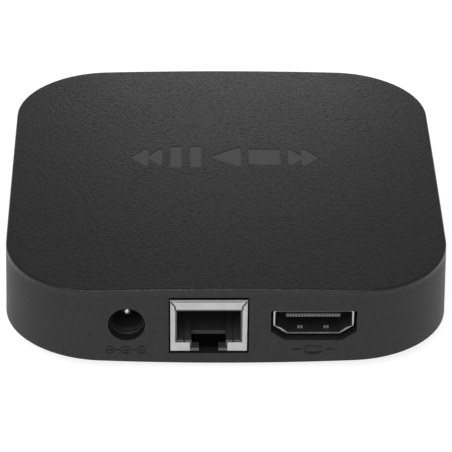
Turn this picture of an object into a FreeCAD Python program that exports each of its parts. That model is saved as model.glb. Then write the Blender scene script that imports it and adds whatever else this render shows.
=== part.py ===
import FreeCAD, Part
import math
import os

# A small square streaming media player, in millimetres.
# Z is up and z = 0 is the floor under the rubber feet. The sockets for power, network and
# video are in the wall at -Y, the remote control's window is at +Y, and X runs along both.

V = FreeCAD.Vector
AXES = {"x": V(1, 0, 0), "y": V(0, 1, 0), "z": V(0, 0, 1)}

# Outside of the case
BASE_HALF = 41.65        # half the width at the foot of the walls
DRAFT = 0.0248           # how far a wall leans in for each mm of height
CORNER_R = 18.0          # round corners, seen from above
RIM_Z = 1.6              # foot of the walls, at the middle of a side
CROWN_TOP = 18.75        # highest point of the domed roof
CROWN_R = 851.0          # radius of the dome
BELLY_R = 517.0          # radius of the bulging underside
FLAT_Z = 1.0             # the underside is flat at its middle
TOP_ROUND = 0.45         # rounding of the roof's edge
FOOT_ROUND = 0.3         # rounding of the walls' lower edge

# Thicknesses and gaps of the two mouldings
WALL = 2.0
ROOF = 1.8
FLOOR = 1.6
COVER_GAP = 0.12         # between the bottom cover and the walls around it
LIP = 1.2                # the rim that stands up around the bottom cover
LIP_TOP = 6.0
BIG = 60.0               # larger than half the case, for blocks that only cut

# Case screws, driven from below through posts into bosses under the roof
CORNER = 31.5
CORNERS = [(sx * CORNER, sy * CORNER) for sx in (-1, 1) for sy in (-1, 1)]
POST_R = 3.7
POST_TOP = 7.9
BOSS_R = 3.2
BOSS_Z = (8.0, 16.2)
SCREW_R = 1.25
SCREW_SEAT = 3.6         # the heads press up against this height
SCREW_HEAD = (2.55, 1.5)  # radius and height
SCREW_TIP = 12.0

# Feet, label and openings in the underside
FOOT_PLACE = 24.5
FEET = [(sx * FOOT_PLACE, sy * FOOT_PLACE) for sx in (-1, 1) for sy in (-1, 1)]
FOOT_R = 4.5
FOOT_SEAT = 1.7
LABEL_HALF = (18.0, 8.0)
LABEL_DEPTH = 0.15
VENT_COUNT = 9
VENT_PITCH = 4.0
VENT_HALF = (0.8, 7.0)
VENT_BANK_Y = (-17.0, 17.0)

# Main board
BOARD_Z = (5.6, 7.2)
BOARD_HALF = 37.8
BOARD_FRONT = 35.2
BOARD_CORNER_R = 14.4
BOARD_SCREWS = ((32.5, -4.0), (-22.5, 30.5), (-17.0, -20.5))
STANDOFF_R = 2.5
BOARD_SCREW_R = 0.9

# Network socket, in the middle of the rear wall
LAN_X = -3.45
LAN_HALF = 7.15
LAN_Y = (-41.35, -24.5)
LAN_Z = (4.09, 15.36)
LAN_SHEET = 0.25
LAN_FOLD_R = 0.2
LAN_FRONT_HALF = 6.18    # opening in the shield's front
LAN_FRONT_Z = (6.1, 13.32)
LAN_CATCH_HALF = 3.49    # its lower part, for the plug's catch
LAN_LIP_TOP = 4.9        # the shield's front stands this high on both sides of its notch
LAN_NOTCH_HALF = 1.8
LAN_INSET = 0.29         # the moulding's mouth is this much narrower on each side
LAN_MOUTH_Z = (6.24, 12.85)
LAN_MOUTH_BACK = -29.0
LAN_SLANT = 0.22         # the slanted edge of the mouth's sill
LAN_STEP = (-36.0, 5.2)  # where the catch channel ends, and the height of the step there
LAN_LEDGE = (-39.4, 4.85)
LAN_PITCH = 1.016
LAN_WINDOW_GAP = 0.23    # between the shield and the wall around it
LAN_WINDOW_TOP = 15.86
LAN_SEAM = 0.3           # the slits between the folded flaps of the shield's front
LAN_FLAP_GAP = 0.3       # the slits beside the upper flap, next to the mouth
LAN_CREASE_Z = 15.0

# Video socket, to the right of it
HDMI_X = 15.85
HDMI_Y = (-40.1, -28.6)
HDMI_TOP = 12.38
HDMI_OUTLINE = ((7.4, 0.0), (7.4, -3.38), (6.2, -4.18), (4.94, -5.18))
HDMI_SHEET = 0.3
HDMI_CORNER_R = 0.6      # the two upper corners
HDMI_TONGUE_Y = (-38.3, -33.0)
HDMI_TONGUE_HALF = 5.08
HDMI_TONGUE_Z = (9.8, 10.56)
HDMI_BAND_TOP = 10.3     # the contacts' ends cover the tongue's front up to here
HDMI_GROOVE_Y = (-37.8, -33.2)
HDMI_PITCH = 0.52
HDMI_CONTACT_HALF = 0.17
HDMI_TABS_Y = (-36.2, -31.0)
HDMI_TAB_HALF = 0.6
HDMI_SEAM = 0.08
HDMI_WINDOW = ((7.9, 12.95), (7.9, 8.45), (7.3, 8.12), (5.85, 7.08), (5.0, 6.68))

# Power socket, to the left of it
DC_X = -18.55
DC_Z = 10.1
DC_HALF = 4.5
DC_Y = (-39.2, -28.0)
DC_MOUTH_R = 3.34        # the bore is wider between the wall and this step
DC_STEP_Y = -38.4
DC_STEP_LENGTH = 0.6
DC_CHAMFER = 0.2
DC_BORE_R = 3.15
DC_BORE_BACK = -30.0
DC_PIN_R = 1.0
DC_PIN_TIP = -37.45
DC_WINDOW_R = 3.42

# Two USB sockets and a card slot, in the wall at -X
USB_Y = (-15.5, 1.5)
USB_HALF = 6.55
USB_X = (-41.1, -27.1)
USB_Z = (7.3, 13.0)
USB_SHEET = 0.3
CARD_Y = 17.5
CARD_HALF = 7.0
CARD_X = (-39.2, -24.5)
CARD_Z = (7.25, 9.05)
CARD_SHEET = 0.2
CARD_MOUTH_HALF = 6.2
CARD_MOUTH_Z = (7.25, 9.35)
CARD_SCOOP_R = 5.0

# Window for the remote control, in the wall at +Y
WINDOW_Z = 9.6
WINDOW_HALF = (9.0, 2.5)
WINDOW_GAP = 0.05

# Reset switch, soldered under the board and pressed with a pin through the bottom cover
RESET = (20.0, -12.0)
RESET_HALF = 2.6
RESET_Z = 4.1
RESET_PIN_HOLE_R = 0.9
PLUNGER_R = 0.75
PLUNGER_FIT = 0.05

# Engraved and polished marks
MARK_DEPTH = 0.15
STROKE = 0.24
RING_R = 0.9
EMBLEM_DEPTH = 0.08
EMBLEM_PLACE = (0.24, 4.6)
SIGN_PITCH = 7.7
SIGN_HALF = (3.1, 4.15)
SIGN_ROUND = 0.5

# Power parts on the board
INDUCTORS = ((-21.5, -8.5), (-21.5, -1.0), (-19.5, 14.0))
CAPACITORS = ((-13.0, -9.5), (-13.0, -2.0), (-12.0, 20.0))

# Processor and its heat sink
CHIP_PLACE = (4.0, 0.0)
CHIP_HALF = 7.0
CHIP_TOP = 8.4
PAD_TOP = 8.9
SINK_HALF = 12.5
SINK_BASE_TOP = 10.4
SINK_TOP = 14.9
SINK_FINS = 9
FIN_THICKNESS = 1.0


# ---------------------------------------------------------------- shapes

def place(axis, a, b, along):
    """The point at `along` on the axis; a and b are its other two coordinates, in x, y, z order."""
    if axis == "x":
        return V(along, a, b)
    if axis == "y":
        return V(a, along, b)
    return V(a, b, along)


def block(x, y, z):
    """A box that fills three (low, high) ranges."""
    return Part.makeBox(x[1] - x[0], y[1] - y[0], z[1] - z[0], V(x[0], y[0], z[0]))


def block_at(centre, half, z):
    """A box centred on (x, y), with half sizes (x, y), between two heights."""
    x = (centre[0] - half[0], centre[0] + half[0])
    y = (centre[1] - half[1], centre[1] + half[1])
    return block(x, y, z)


def rod(axis, radius, centre, span):
    """A cylinder along an axis, between the two ends of span."""
    start = place(axis, centre[0], centre[1], span[0])
    return Part.makeCylinder(radius, span[1] - span[0], start, AXES[axis])


def prism(axis, outline, span):
    """A straight prism along an axis, with a polygon as its outline."""
    points = [place(axis, a, b, span[0]) for a, b in outline]
    face = Part.Face(Part.makePolygon(points + points[:1]))
    return face.extrude(AXES[axis] * (span[1] - span[0]))


def rounded_wire(axis, centre, half, radius, along):
    """A rectangle with round corners, across an axis."""
    arcs = []
    for side_a, side_b, start in ((1, 1, 0), (-1, 1, 90), (-1, -1, 180), (1, -1, 270)):
        corner_a = centre[0] + side_a * (half[0] - radius)
        corner_b = centre[1] + side_b * (half[1] - radius)
        turns = [math.radians(start + turn) for turn in (0, 45, 90)]
        arcs.append([
            place(axis, corner_a + radius * math.cos(t), corner_b + radius * math.sin(t), along)
            for t in turns
        ])
    edges = []
    for arc, following in zip(arcs, arcs[1:] + arcs[:1]):
        edges.append(Part.Arc(*arc).toShape())
        if arc[2].distanceToPoint(following[0]) > 1e-6:
            edges.append(Part.LineSegment(arc[2], following[0]).toShape())
    return Part.Wire(edges)


def rounded_prism(axis, centre, half, radius, span):
    """A straight prism along an axis, with a rounded rectangle as its outline."""
    face = Part.Face(rounded_wire(axis, centre, half, radius, span[0]))
    return face.extrude(AXES[axis] * (span[1] - span[0]))


def strip(axis, path, thickness, span):
    """A bent metal strip: its middle line lies across the axis, and span is its width."""
    left, right = [], []
    last = len(path) - 1
    for i, (a, b) in enumerate(path):
        before = direction(path[max(i - 1, 0)], path[max(i, 1)])
        after = direction(path[min(i, last - 1)], path[min(i + 1, last)])
        normal_a = -(before[1] + after[1])
        normal_b = before[0] + after[0]
        reach = thickness / (normal_a ** 2 + normal_b ** 2)
        left.append((a + normal_a * reach, b + normal_b * reach))
        right.append((a - normal_a * reach, b - normal_b * reach))
    return prism(axis, left + right[::-1], span)


def direction(start, end):
    """The unit vector from one flat point to another."""
    length = math.hypot(end[0] - start[0], end[1] - start[1])
    return ((end[0] - start[0]) / length, (end[1] - start[1]) / length)


def join(shapes):
    """Several touching shapes as one."""
    return shapes[0].multiFuse(shapes[1:]).removeSplitter()


def group(shapes):
    """Several separate solids kept together."""
    return Part.makeCompound(shapes)


def evenly(count, pitch, middle=0.0):
    """The places of a row of equal steps about its middle."""
    return [middle + pitch * (i - (count - 1) / 2) for i in range(count)]


def save(name, shape):
    """Write one sub-part to its own STEP file."""
    if len(shape.Solids) == 1:
        shape = shape.Solids[0]
    if not shape.isValid():
        raise ValueError(name + " is not a valid shape")
    shape.exportStep("parts/" + name + ".step")
    print(name, len(shape.Solids), "solids", round(shape.Volume, 2), "mm3")


# ---------------------------------------------------------------- case

def wall_half(z):
    """Half the outside width of the case at height z."""
    return BASE_HALF - DRAFT * (z - RIM_Z)


def inside_walls(inset):
    """All the space within the four walls, moved inwards by inset."""
    low, high = -2.0, 22.0
    middle = BASE_HALF - CORNER_R
    half_low = wall_half(low) - inset
    half_high = wall_half(high) - inset
    section = ((-half_low, low), (half_low, low), (half_high, high), (-half_high, high))
    pieces = [prism("x", section, (-middle, middle)), prism("y", section, (-middle, middle))]
    for side_x in (-middle, middle):
        for side_y in (-middle, middle):
            foot = V(side_x, side_y, low)
            pieces.append(Part.makeCone(half_low - middle, half_high - middle, high - low, foot))
    return join(pieces)


def above(z):
    """All the space above a height."""
    return block((-BIG, BIG), (-BIG, BIG), (z, BIG))


def ball(radius, centre):
    """A ball whose seam lies at its side, away from the parts of it that shape the case."""
    shape = Part.makeSphere(radius, centre, AXES["y"])
    shape.rotate(centre, AXES["y"], 90)
    return shape


def crown_ball(drop=0.0):
    """The ball that shapes the roof, shrunk by drop."""
    return ball(CROWN_R - drop, V(0, 0, CROWN_TOP - CROWN_R))


def belly_ball(rise=0.0):
    """The ball that shapes the underside, shrunk by rise."""
    lowest = RIM_Z - (BELLY_R - math.sqrt(BELLY_R ** 2 - BASE_HALF ** 2))
    return ball(BELLY_R - rise, V(0, 0, lowest + BELLY_R))


def closed_case():
    """The outside shape of the case, as one block with its edges rounded."""
    body = inside_walls(0.0).common(crown_ball()).common(belly_ball()).common(above(FLAT_Z))
    roof_edges = [e for e in body.Edges if e.BoundBox.ZMin > CROWN_TOP / 2]
    body = body.makeFillet(TOP_ROUND, roof_edges)
    foot_edges = []
    for edge in body.Edges:
        is_low = FLAT_Z + 0.1 < edge.BoundBox.ZMin and edge.BoundBox.ZMax < CROWN_TOP / 2
        if is_low:
            foot_edges.append(edge)
    return body.makeFillet(FOOT_ROUND, foot_edges)


def rear_windows():
    """The openings in the rear wall for the power, network and video sockets."""
    through = (-BIG, -BASE_HALF + 2 * WALL)
    power = rod("y", DC_WINDOW_R, (DC_X, DC_Z), through)
    x = (LAN_X - LAN_HALF - LAN_WINDOW_GAP, LAN_X + LAN_HALF + LAN_WINDOW_GAP)
    z = (LAN_Z[0] - LAN_WINDOW_GAP, LAN_WINDOW_TOP)
    network = block(x, through, z)
    right = [(HDMI_X + half, z) for half, z in HDMI_WINDOW]
    left = [(HDMI_X - half, z) for half, z in reversed(HDMI_WINDOW)]
    video = prism("y", right + left, through)
    return [power, network, video]


def side_windows():
    """The openings at -X for the USB sockets and the card, with a hollow for a fingertip."""
    through = (-BIG, -BASE_HALF + 2 * WALL)
    gap = 0.25
    windows = []
    for y in USB_Y:
        window_y = (y - USB_HALF - gap, y + USB_HALF + gap)
        windows.append(block(through, window_y, (USB_Z[0] - gap, USB_Z[1] + gap)))
    card_y = (CARD_Y - CARD_MOUTH_HALF, CARD_Y + CARD_MOUTH_HALF)
    windows.append(block(through, card_y, CARD_MOUTH_Z))
    scoop = Part.makeSphere(CARD_SCOOP_R, V(-BASE_HALF - 0.8 * CARD_SCOOP_R, CARD_Y, CARD_Z[1]))
    windows.append(scoop)
    return windows


def front_opening(gap):
    """The round-ended opening for the remote control's window, larger by gap all round."""
    half = (WINDOW_HALF[0] + gap, WINDOW_HALF[1] + gap)
    return rounded_prism("y", (0, WINDOW_Z), half, half[1], (BASE_HALF - 2 * WALL, BIG))


def ring_mark(centre, radius, depth):
    """A thin engraved circle."""
    return rod("y", radius, centre, depth).cut(rod("y", radius - STROKE, centre, depth))


def bar_mark(centre, half, depth):
    """A thin engraved bar."""
    x = (centre[0] - half[0], centre[0] + half[0])
    z = (centre[1] - half[1], centre[1] + half[1])
    return block(x, depth, z)


def power_marks(depth):
    """The sign for a plug with its positive pole inside: minus, a cup with a dot, and plus."""
    z = 4.65
    thin = STROKE / 2
    minus, middle, plus = evenly(3, 2.9, DC_X - 0.2)
    marks = [ring_mark((spot, z), RING_R, depth) for spot in (minus, plus)]
    marks += [bar_mark((spot, z), (0.45, thin), depth) for spot in (minus, plus)]
    marks.append(bar_mark((plus, z), (thin, 0.45), depth))
    cup = ring_mark((middle, z), RING_R, depth)
    marks.append(cup.cut(bar_mark((middle + RING_R, z), (0.5, 0.4), depth)))
    marks.append(rod("y", 0.3, (middle, z), depth))
    marks.append(bar_mark((middle - 1.45, z), (0.45, thin), depth))
    marks.append(bar_mark((middle + 0.95, z), (0.95, thin), depth))
    return marks


def screen_marks(depth):
    """The sign for a screen on its stand, between two dashes."""
    x, z = HDMI_X, 4.75
    thin = STROKE / 2
    outer = rounded_prism("y", (x, z), (1.7, 0.8), 0.25, depth)
    inner = rounded_prism("y", (x, z), (1.7 - STROKE, 0.8 - STROKE), 0.1, depth)
    marks = [outer.cut(inner), bar_mark((x, z - 1.05), (0.9, thin), depth)]
    for side in (-1, 1):
        marks.append(bar_mark((x + side * 3.2, z), (0.9, thin), depth))
    return marks


def rear_marks():
    """The engraved signs under the power and the video socket."""
    depth = (-BIG, -wall_half(4.5) + MARK_DEPTH)
    return power_marks(depth) + screen_marks(depth)


def softened(sign):
    """A flat sign with its upright edges rounded."""
    upright = [e for e in sign.Edges if e.BoundBox.ZLength > 1.0]
    return sign.makeFillet(SIGN_ROUND, upright)


def arrow_sign(tip, back, span):
    """A solid triangle along X, from its tip to its back."""
    y, tall = EMBLEM_PLACE[1], SIGN_HALF[1]
    outline = [(tip, y), (back, y - tall), (back, y + tall)]
    return softened(prism("z", outline, span))


def emblem():
    """Five signs polished into the roof: forward, pause, play, stop and back."""
    y = EMBLEM_PLACE[1]
    wide, tall = SIGN_HALF
    meet = 0.4
    span = (CROWN_TOP - ROOF, BIG)
    forward, pause, play, stop, back = evenly(5, SIGN_PITCH, EMBLEM_PLACE[0])
    signs = [
        join([arrow_sign(forward - wide, forward + meet, span), arrow_sign(forward, forward + wide, span)]),
        arrow_sign(play - wide, play + wide, span),
        softened(block_at((stop, y), (wide, wide), span)),
        join([arrow_sign(back + wide, back - meet, span), arrow_sign(back, back - wide, span)]),
    ]
    for side in (-1, 1):
        signs.append(softened(block_at((pause + side * 1.9, y), (1.1, tall), span)))
    return [sign.cut(crown_ball(EMBLEM_DEPTH)) for sign in signs]


def top_shell():
    """The upper moulding: the domed roof and all four walls, open below."""
    hollow = inside_walls(WALL).common(crown_ball(ROOF))
    shell = closed_case().cut(hollow)
    bosses = [rod("z", BOSS_R, corner, BOSS_Z) for corner in CORNERS]
    shell = join([shell] + bosses)
    pilots = [rod("z", SCREW_R + 0.05, corner, (BOSS_Z[0] - 1, SCREW_TIP + 0.5)) for corner in CORNERS]
    openings = rear_windows() + side_windows() + [front_opening(WINDOW_GAP)]
    return shell.cut(pilots + openings + rear_marks() + emblem())


def bottom_cover():
    """The lower moulding: a plate with a rim, screw posts, standoffs, vents and foot pockets."""
    plug = closed_case().common(inside_walls(WALL + COVER_GAP)).cut(above(LIP_TOP))
    hollow = inside_walls(WALL + COVER_GAP + LIP).common(belly_ball(FLOOR)).common(above(FLAT_Z + FLOOR))
    plug = plug.cut(hollow)
    floor_z = FLAT_Z + FLOOR / 2
    posts = [rod("z", POST_R, corner, (floor_z + 0.6, POST_TOP)) for corner in CORNERS]
    standoffs = [rod("z", STANDOFF_R, spot, (floor_z, BOARD_Z[0])) for spot in BOARD_SCREWS]
    cover = join([plug] + posts + standoffs)

    cuts = []
    for corner in CORNERS:
        cuts.append(rod("z", SCREW_HEAD[0] + 0.25, corner, (0.0, SCREW_SEAT)))
        cuts.append(rod("z", SCREW_R + 0.25, corner, (0.0, BIG)))
    for foot in FEET:
        cuts.append(rod("z", FOOT_R + 0.1, foot, (0.0, FOOT_SEAT)))
    for spot in BOARD_SCREWS:
        cuts.append(rod("z", BOARD_SCREW_R + 0.05, spot, (3.0, BIG)))
    for x in evenly(VENT_COUNT, VENT_PITCH):
        for y in VENT_BANK_Y:
            cuts.append(rounded_prism("z", (x, y), VENT_HALF, VENT_HALF[0] - 0.01, (0.0, 4.0)))
    cuts.append(rounded_prism("z", (0, 0), LABEL_HALF, 1.0, (0.0, FLAT_Z + LABEL_DEPTH)))
    cuts.append(rod("z", RESET_PIN_HOLE_R, RESET, (0.0, 4.0)))
    behind_wall = (-BASE_HALF, -BOARD_HALF)
    cuts.append(block((LAN_X - LAN_HALF - 0.6, LAN_X + LAN_HALF + 0.6), behind_wall, (3.5, BIG)))
    cuts.append(block((DC_X - DC_HALF - 0.6, DC_X + DC_HALF + 0.6), behind_wall, (5.0, BIG)))
    return cover.cut(cuts)


def rubber_feet():
    """Four soft round feet with a rounded lower edge."""
    feet = []
    for foot in FEET:
        body = rod("z", FOOT_R, foot, (0.0, FOOT_SEAT))
        lower = [e for e in body.Edges if e.BoundBox.ZMax < 0.1]
        feet.append(body.makeFillet(0.35, lower))
    return group(feet)


def rating_label():
    """A blank label in its shallow recess under the case."""
    half = (LABEL_HALF[0] - 0.2, LABEL_HALF[1] - 0.2)
    return rounded_prism("z", (0, 0), half, 0.9, (FLAT_Z + 0.03, FLAT_Z + LABEL_DEPTH))


def cross_recess(centre, z):
    """The cross that a screwdriver fits, to cut out of a screw head."""
    return [block_at(centre, half, z) for half in ((1.5, 0.3), (0.3, 1.5))]


def case_screws():
    """Four screws that hold the two mouldings together."""
    screws = []
    for corner in CORNERS:
        head = rod("z", SCREW_HEAD[0], corner, (SCREW_SEAT - SCREW_HEAD[1], SCREW_SEAT))
        rim = [e for e in head.Edges if e.BoundBox.ZMax < SCREW_SEAT - 1.4]
        head = head.makeFillet(0.5, rim)
        screw = join([head, rod("z", SCREW_R, corner, (SCREW_SEAT, SCREW_TIP))])
        screws.append(screw.cut(cross_recess(corner, (0.0, SCREW_SEAT - 0.7))))
    return group(screws)


def board_screws():
    """Three screws that hold the board on its standoffs."""
    screws = []
    for spot in BOARD_SCREWS:
        head = rod("z", 2.0, spot, (BOARD_Z[1], BOARD_Z[1] + 1.2))
        screw = join([head, rod("z", BOARD_SCREW_R, spot, (3.4, BOARD_Z[1]))])
        screws.append(screw.cut(cross_recess(spot, (BOARD_Z[1] + 0.6, BIG))))
    return group(screws)


def front_window():
    """The dark window for the remote control, with a flange inside the wall."""
    plug = front_opening(-WINDOW_GAP).common(inside_walls(0.0))
    flange_y = (wall_half(WINDOW_Z) - WALL - 0.9, wall_half(WINDOW_Z) - WALL - 0.1)
    flange = rounded_prism("y", (0, WINDOW_Z), (10.2, 3.2), 3.1, flange_y)
    return join([plug.cut(block((-BIG, BIG), (0.0, flange_y[0]), (0.0, BIG))), flange])


# ---------------------------------------------------------------- board

def main_board():
    """The circuit board, cut away around the corner posts and the two deep sockets."""
    middle = (BOARD_FRONT - BOARD_HALF) / 2
    half = (BOARD_HALF, BOARD_FRONT - middle)
    board = rounded_prism("z", (0, middle), half, BOARD_CORNER_R, BOARD_Z)
    cuts = [rod("z", POST_R + 0.5, corner, (0.0, BIG)) for corner in CORNERS]
    cuts += [rod("z", BOARD_SCREW_R + 0.2, spot, (0.0, BIG)) for spot in BOARD_SCREWS]
    cuts.append(block((LAN_X - LAN_HALF - 0.2, LAN_X + LAN_HALF + 0.2), (-BIG, LAN_Y[1] + 0.2), (0.0, BIG)))
    cuts.append(block((DC_X - DC_HALF - 0.2, DC_X + DC_HALF + 0.2), (-BIG, DC_Y[1] + 0.3), (0.0, BIG)))
    for tab in hdmi_tab_places():
        cuts.append(block_at(tab, (HDMI_SHEET / 2 + 0.15, HDMI_TAB_HALF + 0.15), (0.0, BIG)))
    return board.cut(cuts)


def chip(centre, half, height, corner=0.3):
    """A chip lying on the board, with its corners slightly rounded."""
    return rounded_prism("z", centre, half, corner, (BOARD_Z[1], BOARD_Z[1] + height))


def processor():
    """The main chip: a thin carrier with a moulded cap."""
    carrier = chip(CHIP_PLACE, (CHIP_HALF, CHIP_HALF), 0.4)
    cap = chip(CHIP_PLACE, (CHIP_HALF - 0.8, CHIP_HALF - 0.8), CHIP_TOP - BOARD_Z[1])
    return join([carrier, cap])


def thermal_pad():
    """The soft sheet between the main chip and its heat sink."""
    return block_at(CHIP_PLACE, (CHIP_HALF - 1.0, CHIP_HALF - 1.0), (CHIP_TOP, PAD_TOP))


def heat_sink():
    """An aluminium base with straight fins."""
    pieces = [block_at(CHIP_PLACE, (SINK_HALF, SINK_HALF), (PAD_TOP, SINK_BASE_TOP))]
    pitch = (2 * SINK_HALF - FIN_THICKNESS) / (SINK_FINS - 1)
    for x in evenly(SINK_FINS, pitch, CHIP_PLACE[0]):
        pieces.append(block_at((x, CHIP_PLACE[1]), (FIN_THICKNESS / 2, SINK_HALF), (PAD_TOP, SINK_TOP)))
    return join(pieces)


def inductors():
    """Three square power inductors."""
    return group([chip(spot, (3.3, 3.3), 3.2, 1.2) for spot in INDUCTORS])


def filter_capacitors():
    """Three round capacitors on square plastic bases."""
    cans = []
    for spot in CAPACITORS:
        base = chip(spot, (3.2, 3.2), 0.8)
        cans.append(join([base, rod("z", 3.1, spot, (BOARD_Z[1] + 0.8, BOARD_Z[1] + 5.6))]))
    return group(cans)


def chip_capacitors():
    """Rows of small capacitors beside the chips."""
    rows = ((-4.0, 27.0, 8), (10.5, 27.0, 4), (27.5, -16.0, 5), (-16.5, 8.5, 3))
    pieces = []
    for row_x, row_y, count in rows:
        for x in evenly(count, 1.6, row_x):
            pieces.append(chip((x, row_y), (0.4, 0.8), 0.6, 0.1))
    return group(pieces)


def wifi_antenna():
    """A stamped antenna: a raised plate with two legs on the board."""
    plate = block((33.0, 36.2), (8.0, 23.0), (11.0, 11.3))
    legs = [block((33.0, 33.3), (y, y + 1.2), (BOARD_Z[1], 11.1)) for y in (8.0, 12.0)]
    return join([plate] + legs)


def ir_receiver():
    """The remote control's receiver, facing the front window."""
    body = block((-6.8, -1.2), (33.2, 35.6), (BOARD_Z[1] + 0.5, 12.6))
    lens = Part.makeSphere(2.2, V(-4.0, 35.2, WINDOW_Z + 0.4))
    legs = [block((x - 0.25, x + 0.25), (34.2, 34.6), (BOARD_Z[1], 8.0)) for x in evenly(3, 1.8, -4.0)]
    return join([body, lens] + legs)


def status_led():
    """The status light, facing the front window."""
    body = rod("y", 1.5, (5.0, WINDOW_Z), (33.0, 36.4))
    tip = Part.makeSphere(1.5, V(5.0, 36.4, WINDOW_Z))
    collar = rod("y", 1.75, (5.0, WINDOW_Z), (33.0, 33.8))
    legs = [block((x - 0.25, x + 0.25), (33.2, 33.6), (BOARD_Z[1], 9.0)) for x in (4.0, 6.0)]
    return join([body, tip, collar] + legs)


# ---------------------------------------------------------------- sockets

def lan_shield():
    """The network socket's folded metal box, with seams and an opening in its front."""
    x = (LAN_X - LAN_HALF, LAN_X + LAN_HALF)
    box = block(x, LAN_Y, LAN_Z)
    folds = [e for e in box.Edges if abs(e.BoundBox.YMax - LAN_Y[0]) < 0.01]
    box = box.makeFillet(LAN_FOLD_R, folds)
    inside_x = (x[0] + LAN_SHEET, x[1] - LAN_SHEET)
    inside_y = (LAN_Y[0] + LAN_SHEET, LAN_Y[1] - LAN_SHEET)
    inside_z = (LAN_Z[0] + LAN_SHEET, LAN_Z[1] - LAN_SHEET)
    front = (LAN_Y[0] - 1, inside_y[0] + 0.01)
    cuts = [block(inside_x, inside_y, inside_z)]
    cuts.append(block((LAN_X - LAN_FRONT_HALF, LAN_X + LAN_FRONT_HALF), front, LAN_FRONT_Z))
    catch_z = (LAN_LIP_TOP, LAN_FRONT_Z[1])
    cuts.append(block((LAN_X - LAN_CATCH_HALF, LAN_X + LAN_CATCH_HALF), front, catch_z))
    notch_x = (LAN_X - LAN_NOTCH_HALF, LAN_X + LAN_NOTCH_HALF)
    cuts.append(block(notch_x, (LAN_Y[0] - 1, LAN_LEDGE[0]), (0.0, LAN_FRONT_Z[0])))
    for side in (-1, 1):
        mouth_x = LAN_X + side * LAN_FRONT_HALF
        corner_x = LAN_X + side * (LAN_HALF + 0.1)
        bend_z = LAN_Z[1] - 1.45
        seam = ((corner_x, LAN_Z[1]), (mouth_x, bend_z), (mouth_x, LAN_FRONT_Z[1] - 0.2))
        cuts.append(strip("y", seam, LAN_SEAM, front))
        flap_x = (mouth_x - LAN_FLAP_GAP / 2, mouth_x + LAN_FLAP_GAP / 2)
        cuts.append(block(flap_x, front, (LAN_FRONT_Z[1] - 0.2, bend_z)))
        edge_x = LAN_X + side * (LAN_HALF - 0.35)
        cuts.append(block((edge_x - 0.03, edge_x + 0.03), (-BIG, LAN_Y[0] + 0.05), (4.8, 14.4)))
    crease_x = (LAN_X - 6.1, LAN_X + 6.1)
    crease_z = (LAN_CREASE_Z - 0.08, LAN_CREASE_Z + 0.08)
    cuts.append(block(crease_x, (-BIG, LAN_Y[0] + 0.14), crease_z))
    cuts.append(block((LAN_X - 5.2, LAN_X + 5.2), (-26.5, BIG), (0.0, 8.2)))
    return box.cut(cuts)


def lan_contacts(spare=0.0):
    """Eight gold wires that fold back down into the socket's mouth."""
    path = (
        (-22.9, 7.4), (-25.3, 7.4), (-25.3, 14.2), (-38.6, 14.2), (-39.3, 13.75), (-31.5, 10.9),
    )
    half = 0.2 + spare
    wires = []
    for x in evenly(8, LAN_PITCH, LAN_X):
        wires.append(strip("x", path, 0.25 + 2 * spare, (x - half, x + half)))
    return group(wires)


def lan_insert():
    """The black moulding inside the network socket, with its mouth and a channel for the catch."""
    gap = LAN_SHEET + 0.05
    x = (LAN_X - LAN_HALF + gap, LAN_X + LAN_HALF - gap)
    front_y = LAN_Y[0] + gap
    body = block(x, (front_y, LAN_Y[1] - gap), (LAN_Z[0] + gap, LAN_Z[1] - gap))
    mouth_half = LAN_FRONT_HALF - LAN_INSET
    catch_half = LAN_CATCH_HALF - LAN_INSET
    mouth_x = (LAN_X - mouth_half, LAN_X + mouth_half)
    catch_x = (LAN_X - catch_half, LAN_X + catch_half)
    notch_x = (LAN_X - LAN_NOTCH_HALF, LAN_X + LAN_NOTCH_HALF)
    sill_z, top_z = LAN_MOUTH_Z
    step_y, step_z = LAN_STEP
    ledge_y, ledge_z = LAN_LEDGE
    cuts = [block(mouth_x, (-BIG, LAN_MOUTH_BACK), LAN_MOUTH_Z)]
    slant_y = front_y + LAN_SLANT
    edge = ((front_y - 0.1, sill_z - LAN_SLANT - 0.1), (slant_y, sill_z), (front_y - 0.1, sill_z))
    cuts.append(prism("x", edge, mouth_x))
    cuts.append(block(catch_x, (-BIG, LAN_MOUTH_BACK), (step_z, top_z)))
    cuts.append(block(catch_x, (ledge_y, step_y), (0.0, top_z)))
    cuts.append(block(catch_x, (-BIG, ledge_y), (ledge_z, top_z)))
    cuts.append(block(notch_x, (-BIG, ledge_y), (0.0, top_z)))
    for side in (-1, 1):
        groove = LAN_X + side * (mouth_half + catch_half) / 2
        cuts.append(block((groove - 0.15, groove + 0.15), (-BIG, LAN_MOUTH_BACK), (5.9, top_z)))
    for wire_x in evenly(8, LAN_PITCH, LAN_X):
        slot_x = (wire_x - 0.3, wire_x + 0.3)
        cuts.append(block(slot_x, (-39.8, -30.0), (top_z - 0.2, 14.5)))
        cuts.append(block(slot_x, (-30.1, -24.0), (14.0, 14.5)))
        cuts.append(block(slot_x, (-25.6, -24.0), (7.1, 14.5)))
    return body.cut(cuts)


def lan_transformer():
    """The long coupling transformer behind the network socket."""
    return chip((LAN_X, -18.6), (8.0, 3.6), 3.6, 0.4)


def hdmi_outline(grow=0.0):
    """The video shell's outline in x and z, widest at the top, larger by grow all round."""
    low_grow = grow * 0.62   # the lower points move less, so the slanted sides keep the same gap
    right = []
    for i, (half, drop) in enumerate(HDMI_OUTLINE):
        up = grow if i == 0 else (0.0 if i == 1 else -grow)
        out = grow if i < 2 else low_grow
        right.append((half + out, HDMI_TOP + drop + up))
    left = [(-a, b) for a, b in reversed(right)]
    return [(HDMI_X + a, b) for a, b in right + left]


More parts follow.
